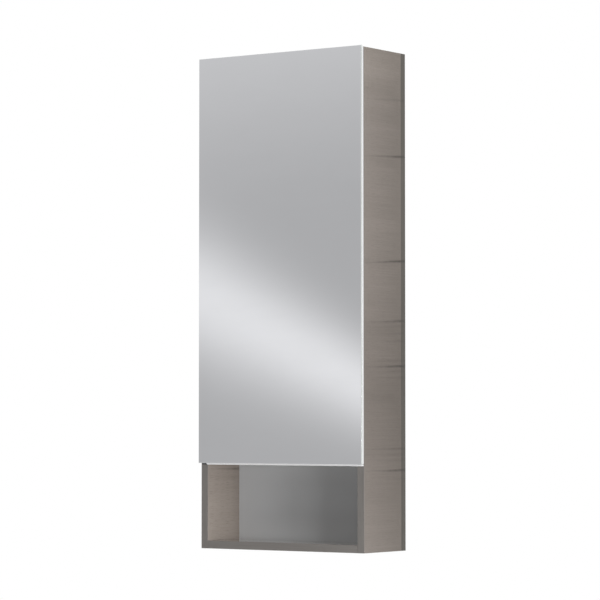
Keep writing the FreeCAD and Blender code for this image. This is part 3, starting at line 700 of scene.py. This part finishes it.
pieceFinishes = {
    "left_side_board": leftLaminate, "right_side_board": rightLaminate,
    "top_board": levelLaminate, "bottom_board": baseLaminate, "fixed_shelf": levelLaminate,
    "back_board": levelLaminate,
    "left_front_edging": uprightEdging, "right_front_edging": uprightEdging,
    "top_front_edging": levelEdging, "bottom_front_edging": levelEdging, "shelf_front_edging": levelEdging,
    "left_back_edging": backEdging, "right_back_edging": backEdging,
    "niche_back_panel": greyLacquer,
    "mirror_glass": silveredGlass, "inner_mirror": silveredGlass,
    "hinge_side_profile": uprightAluminium, "free_side_profile": uprightAluminium,
    "lower_profile": levelAluminium, "upper_profile": levelAluminium, "finger_grip": frostedAluminium,
}
slotFinishes = {
    "wood_laminate": levelLaminate, "dark_edging": uprightEdging, "grey_panel": greyLacquer, "beech": beech,
    "zinc_screw": brightZinc, "clear_glass": clearGlass, "silvered_glass": silveredGlass,
    "aluminium": uprightAluminium, "nickel_steel": nickelPlate, "plain_steel": zincSheet,
    "white_plastic": whitePlastic, "black_plastic": blackPlastic, "ferrite": groundFerrite,
    "soft_bumper": clearSilicone,
}


def finishPieces():
    for name, piece in cadNodes.items():
        finish = pieceFinishes.get(name) or slotFinishes[cadSlots[name]]
        for place in piece.material_slots:
            place.material = finish


finishPieces()
print("finishes set")


# small hardware: round screws, pins and bumpers in place of the plain solids

sameCorner = 1e-6  # corners this near are one


def solidBoxes(name):
    # lowest and highest corner of each separate solid of a piece
    build = bmesh.new()
    build.from_mesh(cadNodes[name].data)
    bmesh.ops.remove_doubles(build, verts=build.verts, dist=sameCorner)
    waiting = set(build.verts)
    boxes = []
    while waiting:
        pool = [waiting.pop()]
        found = []
        while pool:
            corner = pool.pop()
            found.append(corner.co.copy())
            for edge in corner.link_edges:
                other = edge.other_vert(corner)
                if other in waiting:
                    waiting.remove(other)
                    pool.append(other)
        low = Vector([min(place[axis] for place in found) for axis in range(3)])
        high = Vector([max(place[axis] for place in found) for axis in range(3)])
        boxes.append((low, high))
    build.free()
    return sorted(boxes, key=lambda ends: tuple(ends[0]))


def addRing(build, radius, height, sides):
    turns = [2 * math.pi * n / sides for n in range(sides)]
    return [build.verts.new((radius * math.cos(turn), radius * math.sin(turn), height)) for turn in turns]


def joinRings(build, near, far):
    count = len(near)
    for n in range(count):
        build.faces.new((near[n], near[(n + 1) % count], far[(n + 1) % count], far[n]))


def addCross(build, arm, half, height):
    quarter = [(arm, -half), (arm, half), (half, half)]
    corners = []
    for turn in range(4):
        corners += [build.verts.new((x, y, height)) for x, y in quarter]
        quarter = [(-y, x) for x, y in quarter]
    return corners


def loopEdges(build, corners):
    pairs = zip(corners, corners[1:] + corners[:1])
    return [build.edges.get(pair) or build.edges.new(pair) for pair in pairs]


# the flat face and the cross recess, in shares of the head's radius
headLook = {"face": 0.82, "arm": 0.58, "half": 0.13, "deepArm": 0.34, "deepHalf": 0.09, "depth": 0.5}


def screwMesh(name, profile, proud, sides=28):
    # the head's face looks along Z, with a cross recess; the profile runs from its rim down to the tip
    build = bmesh.new()
    head = profile[0][0]
    crown = addRing(build, head * headLook["face"], proud, sides)
    rings = [crown] + [addRing(build, radius, height, sides) for radius, height in profile]
    for near, far in zip(rings, rings[1:]):
        joinRings(build, near, far)
    build.faces.new(rings[-1])
    deep = proud - head * headLook["depth"]
    mouth = addCross(build, head * headLook["arm"], head * headLook["half"], proud)
    floor = addCross(build, head * headLook["deepArm"], head * headLook["deepHalf"], deep)
    joinRings(build, mouth, floor)
    build.faces.new(floor)
    bmesh.ops.triangle_fill(build, use_beauty=True, edges=loopEdges(build, crown) + loopEdges(build, mouth))
    bmesh.ops.recalc_face_normals(build, faces=build.faces)
    return finishMesh(name, build)


def lathedMesh(name, profile, sides=32):
    build = bmesh.new()
    rings = [addRing(build, radius, height, sides) for radius, height in profile]
    for near, far in zip(rings, rings[1:]):
        joinRings(build, near, far)
    build.faces.new(rings[0])
    build.faces.new(rings[-1])
    bmesh.ops.recalc_face_normals(build, faces=build.faces)
    return finishMesh(name, build)


creaseAngle = 38  # degrees; sharper edges stay sharp


def finishMesh(name, build):
    mesh = bpy.data.meshes.new(name)
    build.to_mesh(mesh)
    build.free()
    mesh.shade_smooth()
    mesh.set_sharp_from_angle(angle=math.radians(creaseAngle))
    return mesh


def standing(point, facing):
    return Matrix.Translation(point) @ Vector(facing).to_track_quat("Z", "Y").to_matrix().to_4x4()


def placeCopies(name, kind, matrices, finish, body, node):
    build = bmesh.new()
    for matrix in matrices:
        copy = kind.copy()
        copy.transform(matrix)
        build.from_mesh(copy)
        bpy.data.meshes.remove(copy)
    mesh = finishMesh(name, build)
    mesh.materials.append(finish)
    piece = bpy.data.objects.new(name, mesh)
    scene.collection.objects.link(piece)
    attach(piece, body)
    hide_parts(node)
    bpy.data.meshes.remove(kind)


def facePoint(box, facing):
    low, high = box
    middle = (low + high) / 2
    reach = (high - low) / 2
    return middle + Vector([part * size for part, size in zip(facing, reach)])


def acrossHalf(box, facing):
    # half the width across the axis: the flats of a faceted solid
    low, high = box
    return min((high - low)[axis] for axis in range(3) if not facing[axis]) / 2


flatShare = math.cos(math.pi / 8)  # flats against corners of an eight-sided solid

# crown is how far the head's face stands proud, shank is a share of the head's radius
screwLooks = {
    "backScrews": {"node": "back_screws", "facing": (0, 1, 0), "body": "carcass",
                   "crown": 0.0, "shank": 0.49},
    "plateScrews": {"node": "hinge_plate_screws", "facing": (1, 0, 0), "body": "carcass",
                    "crown": 0.0003, "shank": 0.6},
    "leafScrews": {"node": "hinge_leaf_screws", "facing": (0, 1, 0), "body": "door",
                   "crown": 0.0002, "shank": 0.55},
    "catchScrews": {"node": "catch_screws", "facing": (-1, 0, 0), "body": "carcass",
                    "crown": 0.0003, "shank": 0.53},
    "strikeScrews": {"node": "strike_screws", "facing": (0, 1, 0), "body": "door",
                     "crown": 0.00015, "shank": 0.58},
}
pointLook = {"rim": 0.00008, "start": 0.8, "tip": 0.25}  # thin rim of the head, then the point's shares


def countersunkProfile(head, shank, length):
    return [(head, 0.0), (head, -pointLook["rim"]), (shank, -(head - shank)),
            (shank, -length * pointLook["start"]), (shank * pointLook["tip"], -length)]


def makeScrews(looks):
    for name, look in looks.items():
        facing = look["facing"]
        boxes = solidBoxes(look["node"])
        rim = acrossHalf(boxes[0], facing)
        if look["crown"]:
            rim = rim / flatShare
        deep = abs((boxes[0][1] - boxes[0][0]).dot(Vector(facing)))
        kind = screwMesh(name + "Kind", countersunkProfile(rim, rim * look["shank"], deep), look["crown"])
        places = [standing(facePoint(box, facing), facing) for box in boxes]
        placeCopies(name, kind, places, brightZinc, look["body"], look["node"])


makeScrews(screwLooks)

buttonLooks = {
    "clampScrews": {"node": "hinge_clamp_screws", "facing": (1, 0, 0), "head": 0.0020},
    "adjustingScrews": {"node": "hinge_adjusting_screws", "facing": (1, 0, 0), "head": 0.0038},
    "heightAdjusters": {"node": "hanger_height_screws", "facing": (0, -1, 0), "head": 0.012},
    "depthAdjusters": {"node": "hanger_depth_screws", "facing": (0, -1, 0), "head": 0.012},
}
buttonShape = {"soft": 0.12, "softRim": 0.3, "shank": 0.55, "leastShank": 0.001}


def makeButtons(looks):
    for name, look in looks.items():
        facing = look["facing"]
        boxes = solidBoxes(look["node"])
        head = acrossHalf(boxes[0], facing)
        deep = abs((boxes[0][1] - boxes[0][0]).dot(Vector(facing)))
        soft = head * buttonShape["soft"]
        softRim = soft * buttonShape["softRim"]
        shank = head * buttonShape["shank"]
        profile = [(head - softRim, -softRim), (head, -soft), (head, -look["head"])]
        if deep > look["head"] + buttonShape["leastShank"]:
            profile += [(shank, -look["head"]), (shank, -deep)]
        kind = screwMesh(name + "Kind", profile, 0.0)
        places = [standing(facePoint(box, facing), facing) for box in boxes]
        placeCopies(name, kind, places, brightZinc, "carcass", look["node"])


makeButtons(buttonLooks)

housingScrewLook = {"rim": 0.98, "shank": 0.55}  # shares of the hole and of the head


def makeHousingScrews(look):
    # one faces each way, out of its own hanger
    boxes = solidBoxes("hanger_housing_screws")
    inward = [(-1 if (low.x + high.x) > 0 else 1, 0, 0) for low, high in boxes]
    rim = acrossHalf(boxes[0], inward[0]) * look["rim"]
    deep = boxes[0][1].x - boxes[0][0].x
    kind = screwMesh("housingScrewKind", countersunkProfile(rim, rim * look["shank"], deep), 0.0)
    places = [standing(facePoint(box, facing), facing) for box, facing in zip(boxes, inward)]
    placeCopies("housingScrews", kind, places, brightZinc, "carcass", "hanger_housing_screws")


makeHousingScrews(housingScrewLook)

pinLook = {
    "radius": 0.0025,
    "reach": 0.0080,
    "foot": 0.0080,
    "nose": 0.0007,
    "noseRound": 0.3,       # share of the nose
    "collar": 0.0012,
    "collarSoft": 0.0003,
    "boardGap": 0.00002,    # keeps the collar's back off the board's face
    "seat": 0.0015,         # height of the flat that a glass shelf lies on
    "seatStart": 0.0001,
}


def makeShelfPins(look):
    boxes = solidBoxes("shelf_pins")
    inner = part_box("left_side_board")[1].x
    collarRim = acrossHalf(boxes[0], (1, 0, 0)) / flatShare
    collar, collarSoft, gap = look["collar"], look["collarSoft"], look["boardGap"]
    radius, reach, nose = look["radius"], look["reach"], look["nose"]
    noseRound = nose * look["noseRound"]
    profile = [(radius - nose, reach), (radius - noseRound, reach - noseRound), (radius, reach - nose),
               (radius, collar), (collarRim - collarSoft, collar), (collarRim, collar - collarSoft),
               (collarRim, gap), (radius, gap), (radius, -look["foot"])]
    kind = lathedMesh("shelfPinKind", profile)
    for corner in kind.vertices:
        if corner.co.z > collar + look["seatStart"] and corner.co.y > look["seat"]:
            corner.co.y = look["seat"]
    places = []
    for low, high in boxes:
        sign = 1 if low.x + high.x > 0 else -1
        face = Vector((-sign * inner, (low.y + high.y) / 2, (low.z + high.z) / 2))
        inward = Vector((-sign, 0.0, 0.0))
        upright = Vector((0.0, 0.0, 1.0))
        turn = Matrix((upright.cross(inward), upright, inward)).transposed().to_4x4()
        places.append(Matrix.Translation(face) @ turn)
    placeCopies("shelfPins", kind, places, nickelPlate, "carcass", "shelf_pins")


makeShelfPins(pinLook)

bumperLook = {"profile": ((1.0, 0.0), (1.0, 0.35), (0.93, 0.7), (0.76, 0.92), (0.45, 1.0), (0.05, 1.0))}


def makeBumpers(look):
    boxes = solidBoxes("door_bumpers")
    radius = acrossHalf(boxes[0], (0, 1, 0))
    thick = boxes[0][1].y - boxes[0][0].y
    kind = lathedMesh("bumperKind", [(radius * wide, thick * high) for wide, high in look["profile"]])
    places = [standing(facePoint(box, (0, -1, 0)), (0, 1, 0)) for box in boxes]
    placeCopies("doorBumpers", kind, places, clearSilicone, "door", "door_bumpers")


makeBumpers(bumperLook)
print("hardware built")


# softened edges, so that they catch the light

edgeLooks = {
    "boards": {"width": 0.0004, "pieces": (
        "left_side_board", "right_side_board", "top_board", "bottom_board", "fixed_shelf", "back_board",
        "left_back_edging", "right_back_edging")},
    "panes": {"width": 0.0005, "pieces": ("lower_glass_shelf", "middle_glass_shelf", "upper_glass_shelf")},
    "metal": {"width": 0.0003, "pieces": (
        "lower_hinge_plate", "upper_hinge_plate", "lower_hinge_arm", "upper_hinge_arm",
        "left_wall_plate", "right_wall_plate", "left_hanger_hook", "right_hanger_hook", "strike_plate")},
    "mouldings": {"width": 0.0006, "pieces": (
        "left_hanger_housing", "right_hanger_housing", "catch_housing")},
}
edgeShape = {"segments": 2, "leastAngle": 50}  # angle in degrees


def softenEdges(looks):
    for look in looks.values():
        for name in look["pieces"]:
            weld = cadNodes[name].modifiers.new("joinedCorners", "WELD")
            weld.merge_threshold = sameCorner
            soft = cadNodes[name].modifiers.new("softEdges", "BEVEL")
            soft.width = look["width"]
            soft.segments = edgeShape["segments"]
            soft.limit_method = "ANGLE"
            soft.angle_limit = math.radians(edgeShape["leastAngle"])
            soft.use_clamp_overlap = True


softenEdges(edgeLooks)
print("edges softened")
